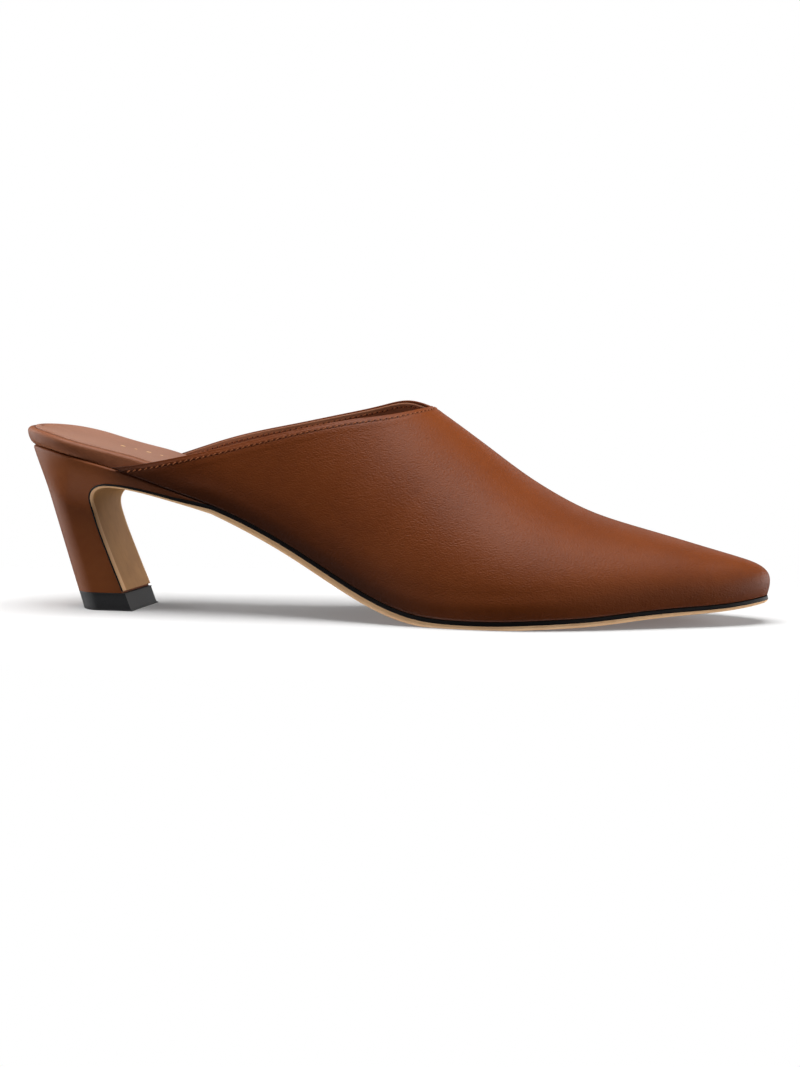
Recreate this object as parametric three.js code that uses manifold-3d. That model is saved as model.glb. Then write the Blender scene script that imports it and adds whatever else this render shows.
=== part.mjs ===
// A right mule shoe with a pointed toe and a slanted block heel.
// Millimetres, +Z up, toe towards +X, outer (lateral) side towards -Y.
// The last is drawn with x running from the back of the seat to the tip, which lies near x = 250.
// The finished group is then moved so that its origin lies under the middle of the shoe.

import * as THREE from 'three';
import { mergeVertices } from 'three/addons/utils/BufferGeometryUtils.js';
import Module from 'manifold-3d';

const wasm = await Module();
wasm.setup();

// ---------------------------------------------------------------- driving dimensions

const TIP_X = 249.3; // tip of the seam line
const WALL = 1.8; // upper leather with its lining
const GAP = 0.3; // clearance where two pieces meet

const SEAT_BACK = 2; // back of the insole rim
const SEAT_CAP = 22; // length of the round back of the seat
const SEAT_FRONT = SEAT_BACK + SEAT_CAP; // the straight sides of the seat start here
const TOE_CAP_START = 231; // where the snipped toe starts to round
const TOE_CAP_POWER = 2.7; // above 2 the toe is squarer than an ellipse
const TOE_SHIFT = 3; // the tip lies this far towards the inner side
const TOE_POLE = 241; // where the ribs of the toe gather on the ridge

const HEEL_RAKE = 0.305; // forward run of the heel's back for each millimetre down
const HEEL_INSET = 1.7; // heel cover set back under the insole rim
const HEEL_FLUSH = [26, 64]; // the heel cover comes out flush with the upper over this stretch
const HEEL_FRONT = 74; // the heel block is cut back from here by the breast
const HEEL_NECK_RATIO = 0.565; // neck width over seat width
const HEEL_NECK_DEPTH = 10; // length of the neck's round back
const HEEL_FLARE_DROP = 17; // height over which the seat narrows to the neck
const TOP_PIECE_HEIGHT = 6;
const TOP_PIECE_FRONT = 41.6; // front edge on the ground
const TOP_PIECE_FRONT_LEAN = 0.4; // rearward run of that face for each millimetre up

const RIM_ROUND = 1.5; // rounding of the insole rim
const RIM_CORNER = 0.3; // the middle of that rounding lies this share of it from both faces
const RIM_UNDERCUT = 1.6; // the rim leans in towards its foot
const RIM_END = [18, 38]; // the rim draws in over this stretch to pass inside the upper
const INSOLE_INSET = 2.4; // insole edge to the outside of the upper

const EDGE_HEIGHT = 1.4; // upright painted edge of the outsole
const EDGE_SHARE = 0.6; // most of the thickness that this edge may take
const EDGE_BEVEL = 3.2; // inward run of the bevel under that edge
const BEVEL_SHARE = 1.3; // most of that run, over the thickness

const WALL_ROWS = 11; // facets from the seam up to the ridge, each side
const ROW_CROWDING = 1.25; // above 1 the rows crowd towards the ridge, where the throat is round
const SEAT_STATIONS = 9; // facets round the back of the seat
const HEEL_STATIONS = 10; // facets along the heel's sides
const BREAST_STATIONS = 34;
const WAIST_STATIONS = 28; // facets of the outsole from the wedge to the toe cap
const UPPER_STATIONS = 26; // facets of the upper from the collar to the toe cap
const INSOLE_STATIONS = 34;
const TOE_STATIONS = 9; // facets round the toe cap
const FAR = 300; // cutting bodies reach past the shoe

// Seam line under the upper, where it meets the outsole and the heel seat.
const SEAM = table(['x', 'z', 'lateral', 'medial', 'insole'], [
  [2, 55.4, 23.8, 23.6, 6.2],
  [12, 54.6, 24.2, 24.0, 5.6],
  [24, 51.9, 24.7, 24.4, 5.2],
  [36, 48.8, 25.0, 24.4, 5.2],
  [48, 45.2, 24.9, 23.8, 5.8],
  [60, 41.0, 24.5, 22.2, 5.6],
  [72, 36.8, 24.0, 19.9, 5.0],
  [86, 30.8, 24.0, 18.3, 4.4],
  [100, 23.5, 24.8, 18.4, 3.8],
  [114, 15.4, 26.6, 20.5, 3.4],
  [128, 8.1, 29.5, 24.6, 3.1],
  [142, 3.6, 33.0, 29.6, 3.0],
  [156, 2.5, 35.7, 34.0, 3.0],
  [170, 2.6, 36.7, 37.0, 3.0],
  [184, 3.2, 34.6, 37.3, 3.0],
  [198, 4.0, 30.0, 34.5, 3.0],
  [212, 5.4, 23.7, 29.0, 3.0],
  [226, 6.4, 16.9, 22.6, 3.0],
  [238, 7.2, 11.0, 16.9, 3.0],
  [250, 8.9, 5.2, 11.3, 3.0],
]);

// Ridge of the last and the shape of the ribs that run up to it from the seam. The side of a rib
// leaves the seam with a lean (degrees, outwards) and a lift, and meets the ridge with a reach.
const RIBS = table(['x', 'ridgeY', 'ridgeZ', 'lift', 'leanLateral', 'leanMedial', 'reach'], [
  [30, 0.0, 112.0, 18, 0, 0, 18],
  [60, 0.5, 107.0, 20, 0, 2, 18],
  [80, 1.5, 101.0, 22, 2, 8, 18],
  [100, 3.0, 93.0, 24, 6, 13, 19],
  [120, 5.0, 81.8, 25, 9, 13, 19],
  [139.5, 6.5, 68.6, 25, 10, 10, 20],
  [150, 7.0, 61.1, 24, 10, 9, 20],
  [160, 7.2, 53.7, 22, 10, 8, 21],
  [170, 7.1, 46.4, 20.5, 10, 8, 22],
  [180, 6.8, 40.2, 19, 10, 8, 22],
  [190, 6.2, 35.2, 17.5, 11, 9, 21],
  [200, 5.5, 31.7, 16, 12, 10, 19],
  [212, 4.7, 28.4, 14, 12, 11, 16.5],
  [226, 3.8, 24.6, 11.5, 13, 12, 13],
  [241, 3.1, 20.5, 6, 16, 16, 9.6],
  [250, 3.0, 17.9, 5, 17, 17, 9.6],
]);

// Height of the collar edge on each side, up to the throat at the ridge.
const THROAT_X = 139.5;
const COLLAR = table(['x', 'lateral', 'medial'], [
  [30, 48.2, 46.6],
  [45, 49.2, 50.7],
  [60, 51.9, 55.4],
  [75, 55.2, 59.3],
  [90, 58.9, 62.3],
  [105, 62.4, 65.4],
  [120, 65.1, 68.7],
  [130, 66.5, 70.5],
  [THROAT_X, 68.6, 68.6],
]);

// Upper face of the outsole from the ground up the heel breast and under the wedge, where it
// joins the seam line, with its thickness.
const BREAST = table(['x', 'z', 'thick'], [
  [39.4, 3.0, 1.2],
  [35.2, 13.0, 1.2],
  [32.2, 20.4, 1.2],
  [29.6, 27.1, 1.2],
  [27.7, 33.2, 1.2],
  [27.2, 37.2, 1.2],
  [28.7, 40.3, 1.2],
  [32.2, 42.4, 1.2],
  [37.5, 42.9, 1.3],
  [45.0, 42.1, 1.4],
  [53.0, 40.6, 1.6],
  [60.0, 39.1, 1.9],
  [66.0, 38.0, 2.5],
  [73.0, 36.4, 3.0],
]);

// Outsole thickness along the waist and forepart.
const OUTSOLE = table(['x', 'thick'], [
  [66, 2.5],
  [73, 3.0],
  [100, 3.6],
  [122, 3.7],
  [138, 3.5],
  [154, 3.1],
  [200, 2.9],
  [226, 2.6],
  [250, 2.3],
]);

// Bevel under the upright edge of the outsole: shares of its height and of its inward run.
const BEVEL = table(['down', 'in'], [
  [0.0, 0.0],
  [0.45, 0.22],
  [0.8, 0.55],
  [1.0, 1.0],
]);

// Heights of the facets of the heel and of the top piece, as shares of the way down.
const HEEL_LEVELS = [0, 0.03, 0.07, 0.12, 0.17, 0.22, 0.27, 0.33, 0.4, 0.55, 0.75, 1];
const TOP_PIECE_LEVELS = [0, 0.2, 0.4, 1];

const COLOURS = {
  leather: 0x7a3f1d,
  sock: 0x9a6247,
  sole: 0xc09a6b,
  rubber: 0x1b1b1c,
};

// ---------------------------------------------------------------- tables and curves

function table(names, rows) {
  const columns = {};
  names.forEach((name, c) => {
    columns[name] = rows.map((row) => row[c]);
  });
  return columns;
}

// Natural cubic spline through ys at knots xs, as a function.
function spline(xs, ys) {
  const n = xs.length;
  const bend = new Array(n).fill(0);
  const work = new Array(n).fill(0);
  for (let i = 1; i < n - 1; i += 1) {
    const ratio = (xs[i] - xs[i - 1]) / (xs[i + 1] - xs[i - 1]);
    const pivot = ratio * bend[i - 1] + 2;
    const rise = (ys[i + 1] - ys[i]) / (xs[i + 1] - xs[i]) - (ys[i] - ys[i - 1]) / (xs[i] - xs[i - 1]);
    bend[i] = (ratio - 1) / pivot;
    work[i] = ((6 * rise) / (xs[i + 1] - xs[i - 1]) - ratio * work[i - 1]) / pivot;
  }
  for (let i = n - 2; i >= 0; i -= 1) {
    bend[i] = bend[i] * bend[i + 1] + work[i];
  }
  return (x) => {
    let i = 1;
    while (i < n - 1 && x > xs[i]) {
      i += 1;
    }
    const span = xs[i] - xs[i - 1];
    const a = (xs[i] - x) / span;
    const b = 1 - a;
    const sag = ((a ** 3 - a) * bend[i - 1] + (b ** 3 - b) * bend[i]) * (span ** 2 / 6);
    return a * ys[i - 1] + b * ys[i] + sag;
  };
}

const seam = {
  z: spline(SEAM.x, SEAM.z),
  lateral: spline(SEAM.x, SEAM.lateral),
  medial: spline(SEAM.x, SEAM.medial),
  insole: spline(SEAM.x, SEAM.insole),
};

const rib = {};
for (const name of ['ridgeY', 'ridgeZ', 'lift', 'leanLateral', 'leanMedial', 'reach']) {
  rib[name] = spline(RIBS.x, RIBS[name]);
}

const collar = {
  lateral: spline(COLLAR.x, COLLAR.lateral),
  medial: spline(COLLAR.x, COLLAR.medial),
};

const outsoleThickness = spline(OUTSOLE.x, OUTSOLE.thick);

const SIDES = { lateral: -1, medial: 1 };

function smooth(t) {
  const c = THREE.MathUtils.clamp(t, 0, 1);
  return c * c * (3 - 2 * c);
}

function slopeOf(f, x) {
  const step = 0.05;
  return (f(x + step) - f(x - step)) / (2 * step);
}

// ---------------------------------------------------------------- plan outline of the last

// x of a station: 0 to 1 round the back of the seat, 1 to 2 along the body, 2 to 3 round the toe.
function stationX(station) {
  if (station < 1) {
    return SEAT_BACK + SEAT_CAP * (1 - Math.cos((station * Math.PI) / 2));
  }
  if (station < 2) {
    return THREE.MathUtils.lerp(SEAT_FRONT, TOE_CAP_START, station - 1);
  }
  return TOE_CAP_START + (TIP_X - TOE_CAP_START) * Math.sin(((station - 2) * Math.PI) / 2);
}

function stationAt(x) {
  return 1 + (x - SEAT_FRONT) / (TOE_CAP_START - SEAT_FRONT);
}

// Point of the outline at a station, as a plan vector.
function outline(side, station) {
  const x = stationX(station);
  const half = seam[side](x);
  if (station < 1) {
    return new THREE.Vector2(x, SIDES[side] * half * Math.sin((station * Math.PI) / 2));
  }
  if (station < 2) {
    return new THREE.Vector2(x, SIDES[side] * half);
  }
  const reach = (x - TOE_CAP_START) / (TIP_X - TOE_CAP_START);
  const cap = Math.max(1 - reach ** TOE_CAP_POWER, 0) ** (1 / TOE_CAP_POWER);
  return new THREE.Vector2(x, TOE_SHIFT + (SIDES[side] * half - TOE_SHIFT) * cap);
}

// The outline point moved inwards, square to the outline.
function insetOutline(side, station, inset) {
  const step = 0.002;
  const ahead = outline(side, Math.min(station + step, 3));
  const behind = outline(side, Math.max(station - step, 0));
  const run = ahead.sub(behind).normalize();
  const point = outline(side, station);
  return point.add(new THREE.Vector2(run.y, -run.x).multiplyScalar(SIDES[side] * inset));
}

// ---------------------------------------------------------------- solids from stations

// Even stations from the first towards the last, which is left out.
function steps(first, last, count) {
  return Array.from({ length: count }, (_, i) => THREE.MathUtils.lerp(first, last, i / count));
}

// Closed mesh from stations that each hold a left and a right run of points, top point first.
// The runs of an end station may coincide, and then that end closes on itself.
function loftPairs(stations) {
  const rows = stations.map(({ left, right }) => [...left, ...[...right].reverse()]);
  const count = rows[0].length;
  const triangles = [];
  for (let i = 0; i < rows.length - 1; i += 1) {
    for (let k = 0; k < count; k += 1) {
      const next = (k + 1) % count;
      quad(triangles, rows[i][k], rows[i][next], rows[i + 1][next], rows[i + 1][k]);
    }
  }
  const half = count / 2;
  for (let k = 0; k < half - 1; k += 1) {
    const first = stations[0];
    const last = stations[stations.length - 1];
    quad(triangles, first.left[k], first.right[k], first.right[k + 1], first.left[k + 1]);
    quad(triangles, last.left[k], last.left[k + 1], last.right[k + 1], last.right[k]);
  }
  return geometryFrom(triangles);
}

function quad(triangles, a, b, c, d) {
  triangles.push([a, b, c], [a, c, d]);
}

// Indexed geometry of triangles with shared corners merged and slivers of no area dropped.
function geometryFrom(triangles) {
  const raw = new THREE.BufferGeometry();
  const corners = triangles.flatMap((corner) => corner.flatMap((p) => [p.x, p.y, p.z]));
  raw.setAttribute('position', new THREE.Float32BufferAttribute(corners, 3));
  const merged = mergeVertices(raw, 1e-4);
  const kept = [];
  for (let i = 0; i < merged.index.count; i += 3) {
    const [a, b, c] = [0, 1, 2].map((k) => merged.index.getX(i + k));
    if (a !== b && b !== c && c !== a) {
      kept.push(a, b, c);
    }
  }
  merged.setIndex(kept);
  return merged;
}

function toSolid(geometry) {
  const vertProperties = new Float32Array(geometry.attributes.position.array);
  const triVerts = new Uint32Array(geometry.index.array);
  return new wasm.Manifold(new wasm.Mesh({ numProp: 3, vertProperties, triVerts }));
}

function toGeometry(solid) {
  const mesh = solid.getMesh();
  const geometry = new THREE.BufferGeometry();
  geometry.setAttribute('position', new THREE.BufferAttribute(mesh.vertProperties, 3));
  geometry.setIndex(new THREE.BufferAttribute(mesh.triVerts, 1));
  return geometry;
}

// Prism across the whole width, from an outline of x, z points, as a solid to cut with.
function prismSolid(points) {
  const shape = new THREE.Shape(points.map(([x, z]) => new THREE.Vector2(x, z)));
  const geometry = new THREE.ExtrudeGeometry(shape, { depth: FAR, bevelEnabled: false });
  geometry.translate(0, 0, -FAR / 2);
  geometry.rotateX(Math.PI / 2);
  geometry.deleteAttribute('normal');
  geometry.deleteAttribute('uv');
  return toSolid(mergeVertices(geometry, 1e-4));
}

// Everything lower than z and behind x.
function lowBlock(z, x) {
  return prismSolid([[-FAR, -FAR], [x, -FAR], [x, z], [-FAR, z]]);
}

// ---------------------------------------------------------------- upper

// Point of the last's surface: station along the last, rise from 0 at the seam to 1 at the ridge.
function lastPoint(side, station, rise) {
  const foot = outline(side, station);
  const toeTurn = Math.max(station - 2, 0);
  const ridgeX = toeTurn > 0
    ? THREE.MathUtils.lerp(TOE_CAP_START, TOE_POLE, Math.sin((toeTurn * Math.PI) / 2))
    : foot.x;
  const ridge = new THREE.Vector2(ridgeX, rib.ridgeY(ridgeX));
  const out = foot.clone().sub(ridge).normalize();
  const leanName = side === 'lateral' ? 'leanLateral' : 'leanMedial';
  const lean = THREE.MathUtils.degToRad(rib[leanName](ridgeX));
  const lift = rib.lift(ridgeX);
  const reach = rib.reach(ridgeX);
  const footZ = seam.z(foot.x) + GAP;
  const ridgeZ = rib.ridgeZ(ridgeX);
  const p0 = new THREE.Vector3(foot.x, foot.y, footZ);
  const p1 = new THREE.Vector3(
    foot.x + out.x * lift * Math.sin(lean),
    foot.y + out.y * lift * Math.sin(lean),
    footZ + lift * Math.cos(lean),
  );
  const p2 = new THREE.Vector3(
    ridge.x + out.x * reach,
    ridge.y + out.y * reach,
    ridgeZ + out.x * reach * slopeOf(rib.ridgeZ, ridgeX),
  );
  const p3 = new THREE.Vector3(ridge.x, ridge.y, ridgeZ);
  return new THREE.CubicBezierCurve3(p0, p1, p2, p3).getPoint(rise);
}

// Station where the collar edge crosses the line of one rise.
function collarStation(side, rise) {
  let low = stationAt(COLLAR.x[0]);
  let high = stationAt(THROAT_X);
  for (let i = 0; i < 40; i += 1) {
    const middle = (low + high) / 2;
    const point = lastPoint(side, middle, rise);
    if (point.z > collar[side](point.x)) {
      low = middle;
    } else {
      high = middle;
    }
  }
  return (low + high) / 2;
}

// Grid over the outer face: rows run from the collar to the tip, columns from the lateral seam
// over the ridge to the medial seam.
function outerGrid() {
  const columns = [];
  for (let k = -WALL_ROWS; k <= WALL_ROWS; k += 1) {
    const side = k < 0 ? 'lateral' : 'medial';
    const rise = 1 - (Math.abs(k) / WALL_ROWS) ** ROW_CROWDING;
    const start = collarStation(side, rise);
    const stations = [...steps(start, 2, UPPER_STATIONS), ...steps(2, 3, TOE_STATIONS), 3];
    columns.push(stations.map((station) => lastPoint(side, station, rise)));
  }
  return columns;
}

function gridTriangles(columns) {
  const triangles = [];
  for (let k = 0; k < columns.length - 1; k += 1) {
    for (let i = 0; i < columns[k].length - 1; i += 1) {
      quad(triangles, columns[k][i], columns[k][i + 1], columns[k + 1][i + 1], columns[k + 1][i]);
    }
  }
  return triangles;
}

function pointKey(p) {
  return [p.x, p.y, p.z].map((v) => Math.round(v * 500)).join(' ');
}

// The grid moved inwards by the wall thickness along the surface normals. The foot row keeps the
// height of the seam, so that the wall stands square on the sole.
function innerGrid(columns) {
  const normals = new Map();
  for (const [a, b, c] of gridTriangles(columns)) {
    const face = b.clone().sub(a).cross(c.clone().sub(a));
    for (const corner of [a, b, c]) {
      const key = pointKey(corner);
      normals.set(key, (normals.get(key) ?? new THREE.Vector3()).add(face));
    }
  }
  const last = columns.length - 1;
  return columns.map((column, k) => column.map((point) => {
    const normal = normals.get(pointKey(point)).clone();
    if (k === 0 || k === last) {
      normal.z = 0;
      const moved = point.clone().addScaledVector(normal.normalize(), -WALL);
      moved.z = seam.z(moved.x) + GAP;
      return moved;
    }
    return point.clone().addScaledVector(normal.normalize(), -WALL);
  }));
}

function upperGeometry() {
  const outer = outerGrid();
  const inner = innerGrid(outer);
  const triangles = gridTriangles(outer);
  for (const [a, b, c] of gridTriangles(inner)) {
    triangles.push([a, c, b]);
  }
  const last = outer.length - 1;
  for (let i = 0; i < outer[0].length - 1; i += 1) {
    quad(triangles, outer[0][i], inner[0][i], inner[0][i + 1], outer[0][i + 1]);
    quad(triangles, outer[last][i + 1], inner[last][i + 1], inner[last][i], outer[last][i]);
  }
  for (let k = 0; k < last; k += 1) {
    quad(triangles, outer[k + 1][0], inner[k + 1][0], inner[k][0], outer[k][0]);
  }
  return geometryFrom(triangles);
}

// ---------------------------------------------------------------- insole

function insoleStation(station) {
  const inside = smooth((stationX(station) - RIM_END[0]) / (RIM_END[1] - RIM_END[0]));
  const inset = INSOLE_INSET * inside;
  const undercut = RIM_UNDERCUT * (1 - inside);
  const thick = seam.insole(stationX(station));
  const profile = [
    [thick, inset + RIM_ROUND],
    [thick - RIM_CORNER * RIM_ROUND, inset + RIM_CORNER * RIM_ROUND],
    [thick - RIM_ROUND, inset],
    [0, inset + undercut],
  ];
  const run = (side) => profile.map(([height, in_]) => {
    const p = insetOutline(side, station, in_);
    return new THREE.Vector3(p.x, p.y, seam.z(p.x) + GAP + height);
  });
  return { left: run('lateral'), right: run('medial') };
}

function insoleGeometry() {
  const stations = [
    ...steps(0, 1, SEAT_STATIONS),
    ...steps(1, 2, INSOLE_STATIONS),
    ...steps(2, 3, TOE_STATIONS),
    3,
  ];
  return loftPairs(stations.map(insoleStation));
}

// ---------------------------------------------------------------- outsole

// Depth under the upper face and inward run of the edge: upright edge, then a round bevel.
function edgeProfile(thick) {
  const edge = Math.min(EDGE_HEIGHT, EDGE_SHARE * thick);
  const bevel = Math.min(EDGE_BEVEL, BEVEL_SHARE * thick);
  const under = BEVEL.down.map((down, i) => [edge + down * (thick - edge), BEVEL.in[i] * bevel]);
  return [[0, 0], ...under];
}

// Breast path as splines over the row number.
function breastPath() {
  const rows = BREAST.x.map((_, i) => i);
  return {
    x: spline(rows, BREAST.x),
    z: spline(rows, BREAST.z),
    thick: spline(rows, BREAST.thick),
    end: rows.length - 1,
  };
}

// Unit vector from the path towards the walking side of the sole.
function pathNormal(path, u) {
  return new THREE.Vector2(slopeOf(path.z, u), -slopeOf(path.x, u)).normalize();
}

function breastStation(path, u) {
  const normal = pathNormal(path, u);
  const run = (side) => {
    const edge = heelSideY(side, path.x(u), path.z(u));
    return edgeProfile(path.thick(u)).map(([depth, in_]) => new THREE.Vector3(
      path.x(u) + normal.x * depth,
      edge - SIDES[side] * in_,
      path.z(u) + normal.y * depth,
    ));
  };
  return { left: run('lateral'), right: run('medial') };
}

function soleStation(station) {
  const thick = outsoleThickness(stationX(station));
  const run = (side) => edgeProfile(thick).map(([depth, in_]) => {
    const p = insetOutline(side, station, in_);
    const normal = new THREE.Vector2(slopeOf(seam.z, p.x), -1).normalize();
    return new THREE.Vector3(p.x + normal.x * depth, p.y, seam.z(p.x) + normal.y * depth);
  });
  return { left: run('lateral'), right: run('medial') };
}

function outsoleSolid() {
  const path = breastPath();
  const wedge = stationAt(BREAST.x[path.end]);
  const waist = [...steps(wedge, 2, WAIST_STATIONS), ...steps(2, 3, TOE_STATIONS), 3];
  const block = toSolid(loftPairs([
    ...steps(0, path.end, BREAST_STATIONS).map((u) => breastStation(path, u)),
    ...waist.map(soleStation),
  ]));
  const ground = lowBlock(0, FAR);
  const foot = lowBlock(TOP_PIECE_HEIGHT + GAP, HEEL_FRONT);
  return block.subtract(ground).subtract(foot);
}

// ---------------------------------------------------------------- heel and top piece

// Plan point of the heel's seat at an outline station.
function heelSeat(side, station) {
  const [start, end] = HEEL_FLUSH;
  const flush = smooth((stationX(station) - start) / (end - start));
  return insetOutline(side, station, HEEL_INSET * (1 - flush));
}

// Point of the heel's side at height z, on the line that runs down from a point of the seat.
function heelPoint(seat, z) {
  const drop = seam.z(seat.x) - z;
  const flare = smooth(drop / HEEL_FLARE_DROP);
  const squeeze = 1 - flare * (1 - HEEL_NECK_DEPTH / (SEAT_CAP - HEEL_INSET));
  const round = Math.min(seat.x, SEAT_FRONT) - SEAT_BACK - HEEL_INSET;
  return new THREE.Vector3(
    seat.x + HEEL_RAKE * drop - round * (1 - squeeze),
    seat.y * (1 - flare * (1 - HEEL_NECK_RATIO)),
    z,
  );
}

// y of the heel's side where it crosses a point of the side view.
function heelSideY(side, x, z) {
  let seatX = x;
  for (let i = 0; i < 30; i += 1) {
    const point = heelPoint(heelSeat(side, stationAt(seatX)), z);
    seatX = Math.max(seatX + x - point.x, SEAT_FRONT);
  }
  return heelPoint(heelSeat(side, stationAt(seatX)), z).y;
}

// Block with the heel's sides from the seat down to z = low.
function heelBlock(low, levels) {
  const run = (side, station) => {
    const seat = heelSeat(side, station);
    return levels.map((level) => heelPoint(seat, THREE.MathUtils.lerp(seam.z(seat.x), low, level)));
  };
  const front = stationAt(HEEL_FRONT);
  const stations = [...steps(0, 1, SEAT_STATIONS), ...steps(1, front, HEEL_STATIONS), front];
  return toSolid(loftPairs(stations.map((station) => (
    { left: run('lateral', station), right: run('medial', station) }
  ))));
}

// Everything in front of and under the breast path, kept clear of the outsole by the gap.
function breastCutter() {
  const path = breastPath();
  const edge = [...steps(0, path.end, BREAST_STATIONS), path.end].map((u) => {
    const normal = pathNormal(path, u);
    return [path.x(u) - normal.x * GAP, path.z(u) - normal.y * GAP];
  });
  const end = edge[edge.length - 1];
  return prismSolid([[edge[0][0], -FAR], ...edge, [FAR, end[1]], [FAR, -FAR]]);
}

function heelSolid() {
  return heelBlock(TOP_PIECE_HEIGHT + GAP, HEEL_LEVELS).subtract(breastCutter());
}

// The top piece carries the heel's rake on to the ground, under the end of the breast flap.
function topPieceSolid() {
  const lean = TOP_PIECE_FRONT_LEAN * FAR;
  const front = prismSolid([
    [TOP_PIECE_FRONT + lean, -FAR],
    [TOP_PIECE_FRONT - lean, FAR],
    [FAR, FAR],
  ]);
  const slab = lowBlock(TOP_PIECE_HEIGHT, FAR);
  return heelBlock(0, TOP_PIECE_LEVELS).intersect(slab).subtract(front);
}

// ---------------------------------------------------------------- assembly

function leatherLike(color, roughness) {
  return new THREE.MeshStandardMaterial({ color, roughness, metalness: 0 });
}

const shoe = new THREE.Group();

function add(name, geometry, material) {
  const mesh = new THREE.Mesh(geometry, material);
  mesh.name = name;
  shoe.add(mesh);
}

add('upper', upperGeometry(), leatherLike(COLOURS.leather, 0.42));
add('insole', insoleGeometry(), leatherLike(COLOURS.sock, 0.55));
add('outsole', toGeometry(outsoleSolid()), leatherLike(COLOURS.sole, 0.5));
add('heel', toGeometry(heelSolid()), leatherLike(COLOURS.leather, 0.42));
add('top_piece', toGeometry(topPieceSolid()), leatherLike(COLOURS.rubber, 0.5));

const bounds = new THREE.Box3().setFromObject(shoe);
const middle = bounds.getCenter(new THREE.Vector3());
shoe.position.set(-middle.x, -middle.y, -bounds.min.z);

export default shoe;
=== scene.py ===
"""Looks of a right mule shoe: cognac calf upper, wrapped footbed, thin leather sole, slanted heel.

The forms are drawn in the last's own frame, in millimetres: x runs from the back of the seat to
the tip, y < 0 is the outer (lateral) side, z is up. to_row() moves them into the CAD frame.
"""
import math

import bmesh
import bpy
import numpy as np
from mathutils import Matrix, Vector
from mathutils.kdtree import KDTree


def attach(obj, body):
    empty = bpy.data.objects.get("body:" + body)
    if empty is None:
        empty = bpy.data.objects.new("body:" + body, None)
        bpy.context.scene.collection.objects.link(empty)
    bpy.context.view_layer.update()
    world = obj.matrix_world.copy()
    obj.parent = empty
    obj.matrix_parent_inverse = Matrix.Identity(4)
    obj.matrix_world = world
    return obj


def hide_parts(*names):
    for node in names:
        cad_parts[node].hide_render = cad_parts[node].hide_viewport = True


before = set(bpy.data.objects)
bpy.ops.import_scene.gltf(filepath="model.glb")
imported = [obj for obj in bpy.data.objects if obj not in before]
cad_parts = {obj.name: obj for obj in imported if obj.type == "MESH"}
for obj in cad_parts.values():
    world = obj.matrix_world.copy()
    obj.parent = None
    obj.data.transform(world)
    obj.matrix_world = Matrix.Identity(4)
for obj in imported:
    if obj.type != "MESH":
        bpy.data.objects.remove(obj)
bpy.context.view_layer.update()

# ---- driving sizes, as in the CAD

ORIGIN = np.array([126.0125, 0.5071, 0.0])  # middle of the shoe on the ground, in the last's frame
TIP_X = 249.3
WALL = 1.8
GAP = 0.3  # between neighbouring solids
SEAT_BACK = 2.0
SEAT_CAP = 22.0
SEAT_FRONT = SEAT_BACK + SEAT_CAP
TOE_CAP_START = 231.0
TOE_CAP_POWER = 2.7
TOE_SHIFT = 3.0  # the tip lies this much to the inner side
TOE_POLE = 241.0  # x where the toe's ribs meet

HEEL_RAKE = 0.305  # run forward per unit of drop
HEEL_INSET = 1.7  # heel cover to the seam line, round the back
HEEL_FLUSH = (26.0, 64.0)  # where that inset fades out
HEEL_FRONT = 74.0
HEEL_NECK_RATIO = 0.565
HEEL_NECK_DEPTH = 10.0
HEEL_FLARE_DROP = 17.0  # the flare under the seat ends this far down
TOP_PIECE_HEIGHT = 6.0
TOP_PIECE_FRONT = 41.6
TOP_PIECE_FRONT_LEAN = 0.4
TOP_PIECE_HALF = 13.0

RIM_ROUND = 1.5
RIM_UNDERCUT = 1.6
RIM_END = (18.0, 38.0)  # where the rim draws in under the upper
INSOLE_INSET = 2.4

EDGE_HEIGHT = 1.4  # upright part of the sole's edge, at most EDGE_SHARE of its thickness
EDGE_SHARE = 0.6
EDGE_BEVEL = 3.2  # the same for the bevel below it
BEVEL_SHARE = 1.3

THROAT_X = 139.5

LATERAL = -1
MEDIAL = 1
SIDES = (LATERAL, MEDIAL)
SIDE_NAME = {LATERAL: "lateral", MEDIAL: "medial"}


def table(names, rows):
    """Columns by name from a table of rows."""
    return {name: np.array([row[i] for row in rows], float) for i, name in enumerate(names)}


# Seam line under the upper, where it meets the outsole and the heel seat.
SEAM = table(("x", "z", "lateral", "medial", "insole"), [
    (2, 55.4, 23.8, 23.6, 6.2),
    (12, 54.6, 24.2, 24.0, 5.6),
    (24, 51.9, 24.7, 24.4, 5.2),
    (36, 48.8, 25.0, 24.4, 5.2),
    (48, 45.2, 24.9, 23.8, 5.8),
    (60, 41.0, 24.5, 22.2, 5.6),
    (72, 36.8, 24.0, 19.9, 5.0),
    (86, 30.8, 24.0, 18.3, 4.4),
    (100, 23.5, 24.8, 18.4, 3.8),
    (114, 15.4, 26.6, 20.5, 3.4),
    (128, 8.1, 29.5, 24.6, 3.1),
    (142, 3.6, 33.0, 29.6, 3.0),
    (156, 2.5, 35.7, 34.0, 3.0),
    (170, 2.6, 36.7, 37.0, 3.0),
    (184, 3.2, 34.6, 37.3, 3.0),
    (198, 4.0, 30.0, 34.5, 3.0),
    (212, 5.4, 23.7, 29.0, 3.0),
    (226, 6.4, 16.9, 22.6, 3.0),
    (238, 7.2, 11.0, 16.9, 3.0),
    (250, 8.9, 5.2, 11.3, 3.0),
])

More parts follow.
